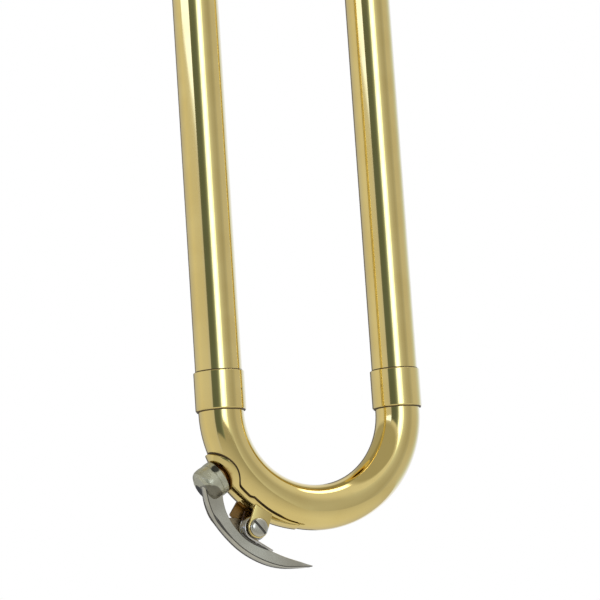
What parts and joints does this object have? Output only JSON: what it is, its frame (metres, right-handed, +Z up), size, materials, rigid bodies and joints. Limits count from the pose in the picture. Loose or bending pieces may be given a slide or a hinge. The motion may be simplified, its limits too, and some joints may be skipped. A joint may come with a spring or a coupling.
{
  "type": "soprano trombone",
  "caption": "Small trombone with a U-shaped hand slide, a water key on its lower bow, a flared bell, a tuning slide and a cup mouthpiece.",
  "frame": {"origin": "centre of the bell mouth, in the plane of its rim", "axes": "+Z up along the bell and the slide tubes towards the tuning bow, -Y towards the hand slide that hangs in front of the bell, +X from the bell-side slide tube to the mouthpiece-side tube"},
  "size_m": [0.1311, 0.1515, 0.5928],
  "materials": {
    "lacquered_brass": "clear lacquered polish",
    "nickel_silver": "polished nickel silver",
    "chrome": "polished chrome plate",
    "silver_plate": "polished silver plate",
    "steel_spring": "drawn wire",
    "cork": "cut cork",
    "felt": "black felt"
  },
  "bodies": {
    "bell_section": {"bell": "lacquered_brass", "stem_sleeve": "nickel_silver", "neckpipe": "nickel_silver", "neck_receiver": "nickel_silver", "lower_bell_brace_bar": "nickel_silver", "lower_bell_brace_foot_a": "nickel_silver", "lower_bell_brace_foot_b": "nickel_silver", "upper_bell_brace_bar": "nickel_silver", "upper_bell_brace_foot_a": "nickel_silver", "upper_bell_brace_foot_b": "nickel_silver"},
    "tuning_slide": {"tuning_bow": "lacquered_brass", "tuning_leg_bell_side": "chrome", "tuning_leg_neck_side": "chrome", "tuning_ferrule_bell_side": "lacquered_brass", "tuning_ferrule_neck_side": "lacquered_brass", "tuning_brace": "nickel_silver"},
    "inner_slide": {"inner_tube_bell_side": "chrome", "inner_tube_mouthpiece_side": "chrome", "cork_barrel_bell_side": "nickel_silver", "cork_barrel_mouthpiece_side": "nickel_silver", "bumper_bell_side": "felt", "bumper_mouthpiece_side": "felt", "inner_brace_bar": "nickel_silver", "inner_brace_foot_a": "nickel_silver", "inner_brace_foot_b": "nickel_silver", "slide_tenon": "nickel_silver", "mouthpiece_receiver": "nickel_silver", "leadpipe": "lacquered_brass"},
    "outer_slide": {"outer_tube_bell_side": "lacquered_brass", "outer_tube_mouthpiece_side": "lacquered_brass", "grip_sleeve_bell_side": "nickel_silver", "grip_sleeve_mouthpiece_side": "nickel_silver", "bow_ferrule_bell_side": "lacquered_brass", "bow_ferrule_mouthpiece_side": "lacquered_brass", "outer_brace_bar": "nickel_silver", "outer_brace_foot_a": "nickel_silver", "outer_brace_foot_b": "nickel_silver", "slide_lock_pin": "nickel_silver", "slide_bow": "lacquered_brass", "water_key_saddle": "lacquered_brass", "water_key_nipple": "lacquered_brass", "pivot_screw": "nickel_silver"},
    "lock_nut": {"bell_lock_nut": "nickel_silver"},
    "slide_lock": {"slide_lock_ring": "nickel_silver"},
    "mouthpiece_body": {"mouthpiece": "silver_plate"},
    "water_key": {"water_key_lever": "nickel_silver", "water_key_cork": "cork", "water_key_spring": "steel_spring"}
  },
  "joints": [
    {"name": "tuning_pull", "type": "slide", "parent": "bell_section", "child": "tuning_slide", "axis": [0, 0, 1], "range_m": [0, 0.028]},
    {"name": "bell_swivel", "type": "hinge", "parent": "bell_section", "child": "inner_slide", "pos_m": [0, -0.076, 0.189], "axis": [0, 0, 1], "range_deg": [-205, 25]},
    {"name": "slide_travel", "type": "slide", "parent": "inner_slide", "child": "outer_slide", "axis": [0, 0, -1], "range_m": [0, 0.29]},
    {"name": "bell_lock_nut_turn", "type": "hinge", "parent": "inner_slide", "child": "lock_nut", "pos_m": [0, -0.076, 0.189], "axis": [0, 0, 1], "range_deg": [0, 540]},
    {"name": "slide_lock_turn", "type": "hinge", "parent": "inner_slide", "child": "slide_lock", "pos_m": [0.0556, -0.076, 0.14], "axis": [0, 0, 1], "range_deg": [0, 35]},
    {"name": "mouthpiece_pull", "type": "slide", "parent": "inner_slide", "child": "mouthpiece_body", "axis": [0, 0, 1], "range_m": [0, 0.03]},
    {"name": "water_key_press", "type": "hinge", "parent": "outer_slide", "child": "water_key", "pos_m": [0.00737, -0.076, -0.23832], "axis": [0, -1, 0], "range_deg": [0, 20], "stiffness_Nm_per_rad": 0.02, "springref_deg": -57.3}
  ]
}
